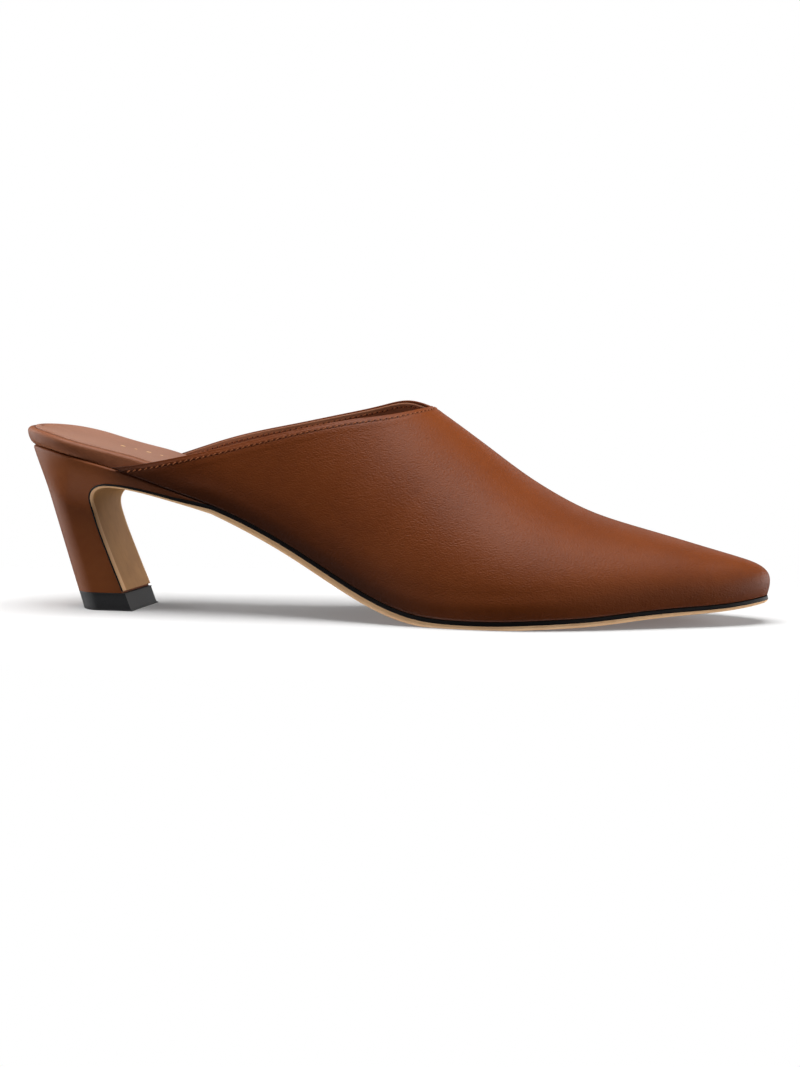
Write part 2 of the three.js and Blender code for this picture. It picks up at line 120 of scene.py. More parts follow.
# Ridge of the last and the shape of the ribs that run up to it from the seam.
RIBS = table(("x", "ridge_y", "ridge_z", "lift", "lean_lateral", "lean_medial", "reach"), [
    (30, 0.0, 112.0, 18, 0, 0, 18),
    (60, 0.5, 107.0, 20, 0, 2, 18),
    (80, 1.5, 101.0, 22, 2, 8, 18),
    (100, 3.0, 93.0, 24, 6, 13, 19),
    (120, 5.0, 81.8, 25, 9, 13, 19),
    (139.5, 6.5, 68.6, 25, 10, 10, 20),
    (150, 7.0, 61.1, 24, 10, 9, 20),
    (160, 7.2, 53.7, 22, 10, 8, 21),
    (170, 7.1, 46.4, 20.5, 10, 8, 22),
    (180, 6.8, 40.2, 19, 10, 8, 22),
    (190, 6.2, 35.2, 17.5, 11, 9, 21),
    (200, 5.5, 31.7, 16, 12, 10, 19),
    (212, 4.7, 28.4, 14, 12, 11, 16.5),
    (226, 3.8, 24.6, 11.5, 13, 12, 13),
    (241, 3.1, 20.5, 6, 16, 16, 9.6),
    (250, 3.0, 17.9, 5, 17, 17, 9.6),
])

# Height of the collar edge on each side, up to the throat at the ridge.
COLLAR = table(("x", "lateral", "medial"), [
    (30, 48.2, 46.6),
    (45, 49.2, 50.7),
    (60, 51.9, 55.4),
    (75, 55.2, 59.3),
    (90, 58.9, 62.3),
    (105, 62.4, 65.4),
    (120, 65.1, 68.7),
    (130, 66.5, 70.5),
    (THROAT_X, 68.6, 68.6),
])

# Upper face of the outsole up the heel breast and under the wedge, with its thickness.
BREAST = table(("x", "z", "thick"), [
    (39.4, 3.0, 1.2),
    (35.2, 13.0, 1.2),
    (32.2, 20.4, 1.2),
    (29.6, 27.1, 1.2),
    (27.7, 33.2, 1.2),
    (27.2, 37.2, 1.2),
    (28.7, 40.3, 1.2),
    (32.2, 42.4, 1.2),
    (37.5, 42.9, 1.3),
    (45.0, 42.1, 1.4),
    (53.0, 40.6, 1.6),
    (60.0, 39.1, 1.9),
    (66.0, 38.0, 2.5),
    (73.0, 36.4, 3.0),
])

# Outsole thickness along the waist and forepart.
OUTSOLE = table(("x", "thick"), [
    (66, 2.5),
    (73, 3.0),
    (100, 3.6),
    (122, 3.7),
    (138, 3.5),
    (154, 3.1),
    (200, 2.9),
    (226, 2.6),
    (250, 2.3),
])

# ---- sizes of what Blender adds

LEATHER_THICK = 1.0  # outer leather of the upper
EDGE_DROP = 0.3  # room for the round fold over the leather's first row
LINING_START = 1.03  # depth of the lining's outer face under the leather's
LINING_DROP = 0.5  # the lining's edge lies this much lower than the folded leather edge
FOLD = 0.42  # how far the collar's edge rounds off
GROOVE = (0.12, 0.6)  # depth and half width of the groove along the stitches
SWELL = (0.06, 3.2, 1.5)  # height, distance to the edge and half width of the ridge beside it
BULGE = (0.4, 4.5)  # how far the upper stands out over the sole, and how high up
BULGE_END = (170.0, 210.0)  # where it fades out towards the toe
SHADE_HEIGHT = 15.0  # painted shade above the sole
SHADE_END = (124.0, 158.0)  # where it fades towards the toe, down to SHADE_LEAST
SHADE_LEAST = 0.3
WEDGE_SHADE = (31.0, 46.0)  # where the painted shade on the heel cover begins and is full
STITCH_DISTANCE = 1.55  # stitch row to the folded edge
STITCH_PITCH = 1.95
STITCH_END = 2.2  # first and last stitch to the ends of the collar
STITCH_SLANT = math.radians(26)
STITCH = (1.45, 0.2)  # length and radius of a thread
HOLE = (0.55, 0.22)  # the same for the needle hole between two threads, a dark piece that stands in for its shade (painted shade)
EDGE_ROUND = 0.45  # round edges of the top piece
HEEL_LIP = 0.9  # round top edge of the heel cover under the rim
COVER_GAP = 0.06  # heel cover to the flap and the top piece
FOOTBED_SINK = 0.15  # footbed's top under that of the CAD's insole
RIM_FULLNESS = 0.12
RIM_TUCK = 0.8  # how far the rim is drawn in at its foot
DISH = (0.25, 1.0)  # depth of the footbed's hollow in the forepart and in the seat
DISH_END = (20.0, 80.0)  # where the one goes over into the other
SOCK_INSET = 2.5  # sock lining's edge to the edge of the footbed
SOCK_THICK = 0.5
SOCK_SKIVE = 0.75
SOCK_DISH = 0.9  # its hollow, as a share of the footbed's
FOIL_DOTS = 7
FOIL_START = (33.0, 3.0)
FOIL_PITCH = 4.6
FOIL_RADII = (0.85, 0.55)
PAINT_SHARE = 0.85  # painted part of the upright edge, but no less than PAINT_LEAST
PAINT_LEAST = 0.6
EDGE_SOFT = 0.16  # soft corner of the edge under the upper
FLAP_START = 0.33  # row of BREAST, counted from 0, where the flap begins over the top piece
FLAP_FOOT_LEAN = 0.39
FLAP_HOLLOW = 0.9

# ---- curves


def spline(xs, ys):
    """Natural cubic spline through ys at knots xs, as a function of an array."""
    n = len(xs)
    bend = np.zeros(n)
    work = np.zeros(n)
    for i in range(1, n - 1):
        ratio = (xs[i] - xs[i - 1]) / (xs[i + 1] - xs[i - 1])
        pivot = ratio * bend[i - 1] + 2
        rise = (ys[i + 1] - ys[i]) / (xs[i + 1] - xs[i]) - (ys[i] - ys[i - 1]) / (xs[i] - xs[i - 1])
        bend[i] = (ratio - 1) / pivot
        work[i] = (6 * rise / (xs[i + 1] - xs[i - 1]) - ratio * work[i - 1]) / pivot
    for i in range(n - 2, -1, -1):
        bend[i] = bend[i] * bend[i + 1] + work[i]

    def value(x):
        x = np.asarray(x, float)
        i = np.clip(np.searchsorted(xs, x), 1, n - 1)
        span = xs[i] - xs[i - 1]
        a = (xs[i] - x) / span
        b = 1 - a
        sag = ((a ** 3 - a) * bend[i - 1] + (b ** 3 - b) * bend[i]) * span ** 2 / 6
        return a * ys[i - 1] + b * ys[i] + sag

    return value


def columns_as_splines(columns):
    return {name: spline(columns["x"], ys) for name, ys in columns.items() if name != "x"}


SEAM_AT = columns_as_splines(SEAM)
SEAM_Z = SEAM_AT["z"]
RIB_AT = columns_as_splines(RIBS)
COLLAR_AT = columns_as_splines(COLLAR)
SOLE_AT = columns_as_splines(OUTSOLE)


def smooth(t):
    c = np.clip(t, 0, 1)
    return c * c * (3 - 2 * c)


def fade_in(x, span):
    """0 before a span and 1 after it."""
    start, end = span
    return smooth((x - start) / (end - start))


def bump(t):
    """A soft hill of height 1 at t = 0 that ends at t = -1 and 1."""
    return smooth(1 - np.abs(t))


def slope(f, x):
    step = 0.05
    return (f(x + step) - f(x - step)) / (2 * step)


def unit(v):
    return v / np.maximum(np.linalg.norm(v, axis=-1, keepdims=True), 1e-12)


def stack(*parts):
    """Points from arrays of coordinates that broadcast together."""
    return np.stack(np.broadcast_arrays(*parts), axis=-1)


def to_row(points):
    """From the last's frame in millimetres to the CAD frame in metres."""
    return (points - ORIGIN) / 1000


# ---- plan outline of the last


def station_x(s):
    """x of a station: 0 to 1 round the back, 1 to 2 along the body, 2 to 3 round the toe."""
    s = np.asarray(s, float)
    back = SEAT_BACK + SEAT_CAP * (1 - np.cos(np.clip(s, 0, 1) * math.pi / 2))
    body = (TOE_CAP_START - SEAT_FRONT) * np.clip(s - 1, 0, 1)
    toe = (TIP_X - TOE_CAP_START) * np.sin(np.clip(s - 2, 0, 1) * math.pi / 2)
    return back + body + toe


def station_at(x):
    return 1 + (np.asarray(x, float) - SEAT_FRONT) / (TOE_CAP_START - SEAT_FRONT)


def outline(side, s):
    """Plan point of the outline at a station."""
    s = np.asarray(s, float)
    x = station_x(s)
    half = side * SEAM_AT[SIDE_NAME[side]](x)
    back = np.sin(np.clip(s, 0, 1) * math.pi / 2)
    reach = np.clip((x - TOE_CAP_START) / (TIP_X - TOE_CAP_START), 0, 1)
    cap = (1 - reach ** TOE_CAP_POWER) ** (1 / TOE_CAP_POWER)
    y = np.where(s > 2, TOE_SHIFT + (half - TOE_SHIFT) * cap, half * back)
    return stack(x, y)


def inset_outline(side, s, inset):
    """The outline point moved inwards, square to the outline."""
    step = 0.002
    s = np.asarray(s, float)
    run = unit(outline(side, np.minimum(s + step, 3)) - outline(side, np.maximum(s - step, 0)))
    inwards = stack(run[..., 1], -run[..., 0]) * side
    return outline(side, s) + inwards * np.asarray(inset)[..., None]


def even(first, last, count):
    """Even stations from the first to the last, both included, with count gaps."""
    return np.linspace(first, last, count + 1)


# ---- the last's surface

PAST_THROAT = 3.0  # the search for the collar ends here
HALVINGS = 40


def last_point(side, s, rise):
    """Point of the last's surface: rise runs from 0 at the seam to 1 at the ridge."""
    s, rise = np.broadcast_arrays(np.asarray(s, float), np.asarray(rise, float))
    foot = outline(side, s)
    turn = np.sin(np.clip(s - 2, 0, 1) * math.pi / 2)
    ridge_x = np.where(s > 2, TOE_CAP_START + (TOE_POLE - TOE_CAP_START) * turn, foot[..., 0])
    ridge = stack(ridge_x, RIB_AT["ridge_y"](ridge_x))
    out = unit(foot - ridge)
    lean = np.radians(RIB_AT["lean_" + SIDE_NAME[side]](ridge_x))
    lift = RIB_AT["lift"](ridge_x)
    reach = RIB_AT["reach"](ridge_x)
    foot_z = SEAM_Z(foot[..., 0]) + GAP
    ridge_z = RIB_AT["ridge_z"](ridge_x)
    p0 = stack(foot[..., 0], foot[..., 1], foot_z)
    p1 = p0 + stack(
        out[..., 0] * lift * np.sin(lean),
        out[..., 1] * lift * np.sin(lean),
        lift * np.cos(lean),
    )
    p3 = stack(ridge[..., 0], ridge[..., 1], ridge_z)
    p2 = p3 + stack(
        out[..., 0] * reach,
        out[..., 1] * reach,
        out[..., 0] * reach * slope(RIB_AT["ridge_z"], ridge_x),
    )
    t = rise[..., None]
    return (1 - t) ** 3 * p0 + 3 * (1 - t) ** 2 * t * p1 + 3 * (1 - t) * t ** 2 * p2 + t ** 3 * p3


def collar_station(side, rise, drop):
    """Station where the collar edge, lowered by drop, crosses the line of one rise."""
    low = np.full_like(rise, station_at(COLLAR["x"][0]))
    high = np.full_like(rise, station_at(THROAT_X + PAST_THROAT))
    for _ in range(HALVINGS):
        middle = (low + high) / 2
        point = last_point(side, middle, rise)
        above = point[..., 2] > COLLAR_AT[SIDE_NAME[side]](point[..., 0]) - drop
        low = np.where(above, middle, low)
        high = np.where(above, high, middle)
    return (low + high) / 2


# ---- meshes


class Builder:
    """Collects points and faces of one piece, in the last's frame."""

    def __init__(self):
        self.points = []
        self.faces = []
        self.marks = []
        self.count = 0

    def add_points(self, points):
        flat = np.asarray(points, float).reshape(-1, 3)
        start = self.count
        self.points.append(flat)
        self.count += len(flat)
        return start + np.arange(len(flat)).reshape(np.asarray(points).shape[:-1])

    def add_face(self, ids, mark=0):
        self.faces.append([int(i) for i in ids])
        self.marks.append(mark)

    def add_grid(self, ids, closed=False, marks=None):
        """Quads over a 2-D array of point numbers; closed joins its last column to its first."""
        if closed:
            ids = np.concatenate([ids, ids[:, :1]], axis=1)
        for i in range(ids.shape[0] - 1):
            for k in range(ids.shape[1] - 1):
                quad = (ids[i, k], ids[i, k + 1], ids[i + 1, k + 1], ids[i + 1, k])
                self.add_face(quad, 0 if marks is None else marks[k])

    def close_ends(self, ids, mark=0):
        self.add_face(ids[0], mark)
        self.add_face(ids[-1][::-1], mark)

    def make(self, name, materials, attributes=None):
        """The mesh object, with shared corners welded and normals facing out."""
        points = to_row(np.concatenate(self.points))
        mesh = bpy.data.meshes.new(name)
        mesh.from_pydata(points.tolist(), [], self.faces)
        mesh.polygons.foreach_set("material_index", self.marks)
        for key, values in (attributes or {}).items():
            layer = mesh.attributes.new(key, "FLOAT", "POINT")
            layer.data.foreach_set("value", values.astype(np.float32))
        work = bmesh.new()
        work.from_mesh(mesh)
        bmesh.ops.remove_doubles(work, verts=work.verts, dist=2e-6)
        bmesh.ops.dissolve_degenerate(work, edges=work.edges, dist=1e-7)
        bmesh.ops.recalc_face_normals(work, faces=work.faces)
        work.to_mesh(mesh)
        work.free()
        mesh.shade_smooth()
        piece = bpy.data.objects.new(name, mesh)
        bpy.context.scene.collection.objects.link(piece)
        for material in materials:
            mesh.materials.append(material)
        return piece


def sharpen(piece, degrees):
    """Edges that turn by more than this stay crisp."""
    mesh = piece.data
    work = bmesh.new()
    work.from_mesh(mesh)
    limit = math.radians(degrees)
    for edge in work.edges:
        edge.smooth = len(edge.link_faces) != 2 or edge.calc_face_angle(0) < limit
    work.to_mesh(mesh)
    work.free()


def settle(piece, node):
    """The piece rides on the body and stands for its CAD node, which it hides."""
    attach(piece, "root")
    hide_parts(node)


# ---- upper

WALL_COLUMNS = 110  # columns from the ridge to the seam, each side
COLUMN_CROWDING = 1.25
EDGE_ROWS = 28  # dense rows along the collar
EDGE_RUN = 13.0  # length of those rows
BODY_ROWS = 110
TOE_ROWS = 44
REACH_ROWS = 42  # rows whose distance to the collar is measured
REACH_STEP = 0.1
FAR = 60.0  # stands for a distance that no longer matters


def upper_grid(lower):
    """Points over the last from the collar, lowered a little, to the tip, with outward normals.

    Columns run from the lateral seam over the ridge to the medial seam; rows from collar to tip.
    """
    k = np.linspace(-1, 1, 2 * WALL_COLUMNS + 1)
    rise = 1 - np.abs(k) ** COLUMN_CROWDING
    sides = np.where(k < 0, LATERAL, MEDIAL)
    points = []
    for side in SIDES:
        own = rise[sides == side]
        start = collar_station(side, own, EDGE_DROP * (1 - own ** 4) + lower)
        dense = start[:, None] + even(0, EDGE_RUN, EDGE_ROWS) / (TOE_CAP_START - SEAT_FRONT)
        t = even(0, 1, BODY_ROWS)[1:]
        body = dense[:, -1:] + (2 - dense[:, -1:]) * t
        toe = np.broadcast_to(2 + even(0, 1, TOE_ROWS)[1:], (len(own), TOE_ROWS))
        s = np.concatenate([dense, body, toe], axis=1)
        points.append(last_point(side, s, own[:, None]))
    grid = np.concatenate(points)
    return grid, grid_normals(grid)


def grid_normals(grid):
    """Outward unit normals of the last's grid; the two sides agree where they meet at the tip."""
    across = np.gradient(grid, axis=0)
    along = np.gradient(grid, axis=1)
    normals = unit(np.cross(along, across))
    normals[:, -1] = unit(normals[:, -1] + normals[::-1, -1])
    return normals


def run_along(line):
    """Length along a line of points, at each of them."""
    return np.concatenate([[0], np.cumsum(np.linalg.norm(np.diff(line, axis=0), axis=1))])


def points_at(at, run, line):
    return np.stack([np.interp(at, run, line[:, i]) for i in range(3)], axis=1)


def collar_reach(grid):
    """Distance of the grid's points to the collar, for the rows near it."""
    edge = grid[:, 0]
    run = run_along(edge)
    line = points_at(np.arange(0, run[-1], REACH_STEP), run, edge)
    tree = KDTree(len(line))
    for i, point in enumerate(line):
        tree.insert(point, i)
    tree.balance()
    distance = np.full(grid.shape[:2], FAR)
    for c in range(grid.shape[0]):
        for r in range(REACH_ROWS):
            distance[c, r] = tree.find(grid[c, r])[2]
    return distance


def leather_relief(grid, distance):
    """How far the leather stands off the last: rounded fold, stitch groove and soft hollows."""
    x = grid[..., 0]
    fold = -FOLD * smooth((STITCH_DISTANCE - distance) / STITCH_DISTANCE)
    deep, half = GROOVE
    groove = -deep * bump((distance - STITCH_DISTANCE) / half)
    high, middle, half = SWELL
    swell = high * bump((distance - middle) / half)
    out, level = BULGE
    bulge = out * bump((grid[..., 2] - SEAM_Z(x) - level) / level)
    bulge = bulge * fade_in(distance, (6, 12)) * (1 - fade_in(x, BULGE_END))
    return fold + groove + swell + bulge + creases(grid)


def low_shade(grid):
    """Painted shade where the leather turns under to the sole, strongest along the waist."""
    x = grid[..., 0]
    rise = slope(SEAM_Z, x)
    height = (grid[..., 2] - SEAM_Z(x)) / np.sqrt(1 + rise ** 2)
    along = 1 - (1 - SHADE_LEAST) * fade_in(x, SHADE_END)
    return along * smooth(1 - height / SHADE_HEIGHT)


def creases(grid):
    """Soft troughs and ridges, listed one by one: middle, direction in degrees, half sizes, height."""
    marks = table(("x", "side", "z", "turn", "long", "wide", "high"), [
        (58, LATERAL, 45.5, -24, 17, 3.4, 0.16),
        (66, LATERAL, 47.5, -12, 15, 3.0, -0.15),
        (84, LATERAL, 42.0, -30, 20, 4.5, -0.12),
        (96, LATERAL, 33.0, -34, 22, 5.0, 0.12),
        (122, LATERAL, 50.0, 62, 19, 6.0, -0.14),
        (134, LATERAL, 46.0, 58, 22, 6.0, 0.14),
        (60, MEDIAL, 46.5, -24, 16, 3.4, 0.16),
        (72, MEDIAL, 46.0, -14, 16, 3.2, -0.14),
        (96, MEDIAL, 40.0, -30, 22, 5.0, -0.12),
        (126, MEDIAL, 48.0, 60, 22, 6.0, -0.14),
    ])
    total = np.zeros(grid.shape[:2])
    for x, side, z, turn, long, wide, high in zip(*marks.values()):
        dx = grid[..., 0] - x
        dz = grid[..., 2] - z
        c, s = math.cos(math.radians(turn)), math.sin(math.radians(turn))
        u = (dx * c + dz * s) / long
        v = (dz * c - dx * s) / wide
        total += high * np.exp(-u * u - v * v) * (grid[..., 1] * side > 0)
    return total


def shell(grid, normals, outer, inner, relief, arc):
    """Closed shell between two depths under a grid, with a round edge along its first row."""
    builder = Builder()
    tangent = unit(np.gradient(grid[:, 0], axis=0))
    edge_out = unit(np.cross(tangent, normals[:, 0]))
    edge_out *= np.sign(np.sum(edge_out * (grid[:, 0] - grid[:, 1]), axis=1))[:, None]
    top = grid - normals * (outer - relief)[..., None]
    bottom = grid - normals * inner
    floor = SEAM_Z(bottom[..., 0]) + GAP
    for column in (0, -1):
        flat = unit(normals[column] * [1, 1, 0])
        bottom[column] = grid[column] - flat * inner
        bottom[column, :, 2] = SEAM_Z(bottom[column, :, 0]) + GAP
        top[column, :, 2] = np.maximum(top[column, :, 2], floor[column])
    bottom[..., 2] = np.maximum(bottom[..., 2], SEAM_Z(bottom[..., 0]) + GAP)
    middle = (top[:, 0] + bottom[:, 0]) / 2
    radius = np.linalg.norm(top[:, 0] - bottom[:, 0], axis=1) / 2
    angles = np.linspace(0, math.pi, arc + 2)[1:-1]
    up = unit(top[:, 0] - bottom[:, 0])
    cosine, sine = (f(angles)[None, :, None] for f in (np.cos, np.sin))
    turn = cosine * up[:, None] + sine * edge_out[:, None]
    cap = middle[:, None] + radius[:, None, None] * turn
    strip = np.concatenate([top[:, ::-1], cap, bottom], axis=1)
    ids = builder.add_points(strip)
    builder.add_grid(ids)
    rows = grid.shape[1]
    for column in (0, -1):
        line = ids[column]
        over = line[:rows][::-1]
        under = line[rows + arc:]
        for i in range(rows - 1):
            builder.add_face((over[i], over[i + 1], under[i + 1], under[i]))
        builder.add_face(line[rows - 1:rows + arc + 1])
    return builder


def spread_edge(values, arc):
    """Values of a grid carried round the shell's edge to its inner face."""
    cap = np.repeat(values[:, :1], arc, axis=1)
    return np.concatenate([values[:, ::-1], cap, values], axis=1).ravel()


def make_upper(materials):
    """The outer leather with its folded edge, and the lining inside it."""
    arc = 7
    grid, normals = upper_grid(0.0)
    distance = collar_reach(grid)
    relief = leather_relief(grid, distance)
    builder = shell(grid, normals, 0.0, LEATHER_THICK, relief, arc)
    leather = builder.make("upper_leather", [materials["leather"]], {
        "edge_distance": spread_edge(distance, arc),
        "low_shade": spread_edge(low_shade(grid), arc),
    })
    settle(leather, "upper")

    low_grid, low_normals = upper_grid(LINING_DROP)
    flat = np.zeros(low_grid.shape[:2])
    builder = shell(low_grid, low_normals, LINING_START, WALL, flat, 5)
    lining = builder.make("upper_lining", [materials["lining"]])
    settle(lining, "upper")
    return grid, normals, distance


def stitch_path(grid, normals, distance):
    """Points and normals at the stitch row's distance from the collar, in even steps."""
    points, ups = [], []
    for c in range(grid.shape[0]):
        r = np.argmax(distance[c] >= STITCH_DISTANCE)
        t = (STITCH_DISTANCE - distance[c, r - 1]) / (distance[c, r] - distance[c, r - 1])
        points.append(grid[c, r - 1] * (1 - t) + grid[c, r] * t)
        ups.append(unit(normals[c, r - 1] * (1 - t) + normals[c, r] * t))
    points, ups = np.array(points), np.array(ups)
    run = run_along(points)
    at = np.arange(STITCH_END, run[-1] - STITCH_END, STITCH_PITCH)
    along = unit(points_at(at + 0.4, run, points) - points_at(at - 0.4, run, points))
    return points_at(at, run, points), unit(points_at(at, run, ups)), along


def bent_threads(builder, centres, ups, along, size, depth, mark):
    """Short bent threads of a length and radius, whose ends dip into the leather."""
    length, thick = size
    rings = 9
    sides = 8
    across = np.cross(ups, along)
    lean = along * math.cos(STITCH_SLANT) + across * math.sin(STITCH_SLANT)
    t = np.linspace(-1, 1, rings)
    height = thick * (0.55 - 2.4 * np.abs(t) ** 5) - depth
    radius = thick * (1 - 0.3 * np.abs(t) ** 4)
    side = unit(np.cross(ups, lean))
    turn = np.linspace(0, 2 * math.pi, sides, endpoint=False)
    for i in range(len(centres)):
        axis = centres[i] + np.outer(t * length / 2, lean[i]) + np.outer(height, ups[i])
        ring = np.cos(turn)[:, None] * side[i] + np.sin(turn)[:, None] * ups[i]
        ids = builder.add_points(axis[:, None] + radius[:, None, None] * ring)
        builder.add_grid(ids, closed=True, marks=[mark] * sides)
        builder.close_ends(ids, mark)


def make_collar_stitches(grid, normals, distance, materials):
    """The stitch row round the collar, seen outside on the leather and inside on the lining."""
    builder = Builder()
    centres, ups, along = stitch_path(grid, normals, distance)
    between = (centres[1:] + centres[:-1]) / 2
    bent_threads(builder, centres, ups, along, STITCH, 0.14, 0)
    # dark pieces between the threads stand in for the needle holes' shade (painted shade)
    bent_threads(builder, between, ups[1:], along[1:], HOLE, 0.26, 1)
    bent_threads(builder, centres - ups * WALL, -ups, along, STITCH, 0.02, 0)
    bent_threads(builder, between - ups[1:] * WALL, -ups[1:], along[1:], HOLE, 0.14, 1)
    piece = builder.make("collar_stitches", [materials["thread"], materials["hole"]])
    settle(piece, "upper")


# ---- footbed and sock lining


def ring_loft(rings, caps=True, marks=None):
    """Closed rings joined one to the next."""
    builder = Builder()
    ids = builder.add_points(rings)
    builder.add_grid(ids, closed=True, marks=marks)
    if caps:
        builder.close_ends(ids)
    return builder


def body_stations(back, body, toe):
    return np.concatenate([even(0, 1, back)[:-1], even(1, 2, body)[:-1], even(2, 3, toe)])


def seat_dish(x):
    """Depth of the hollow of the footbed along the shoe."""
    forepart, seat = DISH
    return seat + (forepart - seat) * fade_in(x, DISH_END)


def sock_dish(x):
    return seat_dish(x) * SOCK_DISH


def bridge(start, end, w):
    """Points between two others; w runs from -1 at the first to 1 at the second."""
    mix = ((w + 1) / 2)[:, None]
    return start * (1 - mix) + end * mix


def layer_rings(stations, profile_of, across, sag):
    """Rings of a lofted layer: across its top, down its lateral edge, back under it and up again.

    profile_of(x) gives rows of (height over the seam line, inset); sag(x) hollows the top.
    """
    rings = []
    w = np.linspace(-1, 1, across + 2)[1:-1]
    for s in stations:
        x0 = station_x(s)
        profile = profile_of(x0)
        runs = {}
        for side in SIDES:
            plan = inset_outline(side, np.full(len(profile), s), profile[:, 1])
            runs[side] = stack(plan[:, 0], plan[:, 1], SEAM_Z(plan[:, 0]) + GAP + profile[:, 0])
        lateral, medial = runs[LATERAL], runs[MEDIAL]
        top = bridge(medial[0], lateral[0], w)
        top[:, 2] -= sag(x0) * (1 - w ** 2)
        rings.append(np.concatenate([top, lateral, bridge(lateral[-1], medial[-1], w), medial[::-1]]))
    return np.array(rings)


def footbed_profile(x):
    """Rim of the wrapped footbed: a round top edge, a slightly full side, drawn in at its foot."""
    inside = fade_in(x, RIM_END)
    inset = INSOLE_INSET * inside
    undercut = RIM_UNDERCUT * (1 - inside)
    thick = SEAM_AT["insole"](x) - FOOTBED_SINK
    turn = np.linspace(0, math.pi / 2, 8)
    edge = [
        (thick - RIM_ROUND * (1 - math.cos(a)), inset + RIM_ROUND * (1 - math.sin(a)))
        for a in turn
    ]
    down = np.sin(np.linspace(0, math.pi / 2, 12))[1:]
    low = thick - RIM_ROUND
    tuck = RIM_TUCK * (1 - inside)
    side = []
    for t in down:
        full = RIM_FULLNESS * math.sin(math.pi * t)
        side.append((low * (1 - t), inset + undercut * t ** 1.4 - full + tuck * t ** 8))
    return np.array(edge + side)


def make_footbed(materials):
    stations = body_stations(44, 150, 16)
    rings = layer_rings(stations, footbed_profile, 26, seat_dish)
    piece = ring_loft(rings, caps=False).make("footbed", [materials["rim"]])
    settle(piece, "insole")


def sock_profile(x):
    """Skived edge of the sock lining, a little in from the edge of the footbed."""
    inset = INSOLE_INSET * fade_in(x, RIM_END) * 0.6 + SOCK_INSET
    base = SEAM_AT["insole"](x) - FOOTBED_SINK
    skived = [(SOCK_THICK, SOCK_SKIVE), (SOCK_THICK * 0.86, 0.32), (SOCK_THICK * 0.5, 0.06)]
    sunk = [(-0.2, 0.0), (-0.7, 0.4)]
    return np.array([(base + up, inset + inwards) for up, inwards in skived + sunk])


def make_sock(materials):
    stations = body_stations(44, 150, 16)
    rings = layer_rings(stations, sock_profile, 30, sock_dish)
    piece = ring_loft(rings, caps=False).make("sock_lining", [materials["sock"]])
    settle(piece, "insole")


def make_foil_dots(materials):
    """A short plain row of foil dots pressed into the sock lining."""
    builder = Builder()
    turn = np.linspace(0, 2 * math.pi, 16, endpoint=False)
    for i in range(FOIL_DOTS):
        x = FOIL_START[0] + FOIL_PITCH * i
        y = FOIL_START[1]
        rings = []
        for lift, scale in ((-0.08, 1.0), (0.02, 0.98), (0.045, 0.8)):
            radius = FOIL_RADII[i % 2] * scale
            px = x + radius * np.cos(turn)
            py = y + radius * np.sin(turn)
            rings.append(stack(px, py, sock_height(px, py) + lift))
        ids = builder.add_points(np.array(rings))
        builder.add_grid(ids, closed=True)
        builder.close_ends(ids)
    piece = builder.make("foil_dots", [materials["foil"]])
    settle(piece, "insole")


def sock_height(x, y):
    """Height of the sock lining's top at a plan point."""
    lateral, medial = (SEAM_AT[name](x) - SOCK_INSET - SOCK_SKIVE for name in ("lateral", "medial"))
    w = (y - (medial - lateral) / 2) / ((medial + lateral) / 2)
    top = SEAM_Z(x) + GAP + SEAM_AT["insole"](x) - FOOTBED_SINK + SOCK_THICK
    return top - sock_dish(x) * (1 - w ** 2)


# ---- heel and top piece


def heel_seat(side, s, drawn_in=0.0):
    """Plan point of the heel's seat at a station, drawn in a little more on demand."""
    flush = fade_in(station_x(s), HEEL_FLUSH)
    return inset_outline(side, s, HEEL_INSET * (1 - flush) + drawn_in)


def heel_point(seat, z):
    """Point of the heel's side at height z, on the line that runs down from a point of the seat."""
    drop = SEAM_Z(seat[..., 0]) - z
    flare = smooth(drop / HEEL_FLARE_DROP)
    squeeze = 1 - flare * (1 - HEEL_NECK_DEPTH / (SEAT_CAP - HEEL_INSET))
    round_back = np.minimum(seat[..., 0], SEAT_FRONT) - SEAT_BACK - HEEL_INSET
    return stack(
        seat[..., 0] + HEEL_RAKE * drop - round_back * (1 - squeeze),
        seat[..., 1] * (1 - flare * (1 - HEEL_NECK_RATIO)),
        z,
    )


def heel_side_y(side, x, z):
    """y of the heel's side where it crosses a point of the side view."""
    seat_x = np.asarray(x, float)
    for _ in range(30):
        point = heel_point(heel_seat(side, station_at(seat_x)), z)
        seat_x = np.maximum(seat_x + x - point[..., 0], SEAT_FRONT)
    return heel_point(heel_seat(side, station_at(seat_x)), z)[..., 1]


BREAST_ROWS = np.arange(len(BREAST["x"]), dtype=float)
BREAST_END = BREAST_ROWS[-1]
BREAST_AT = {name: spline(BREAST_ROWS, ys) for name, ys in BREAST.items()}


def breast_normal(u):
    return unit(stack(slope(BREAST_AT["z"], u), -slope(BREAST_AT["x"], u)))


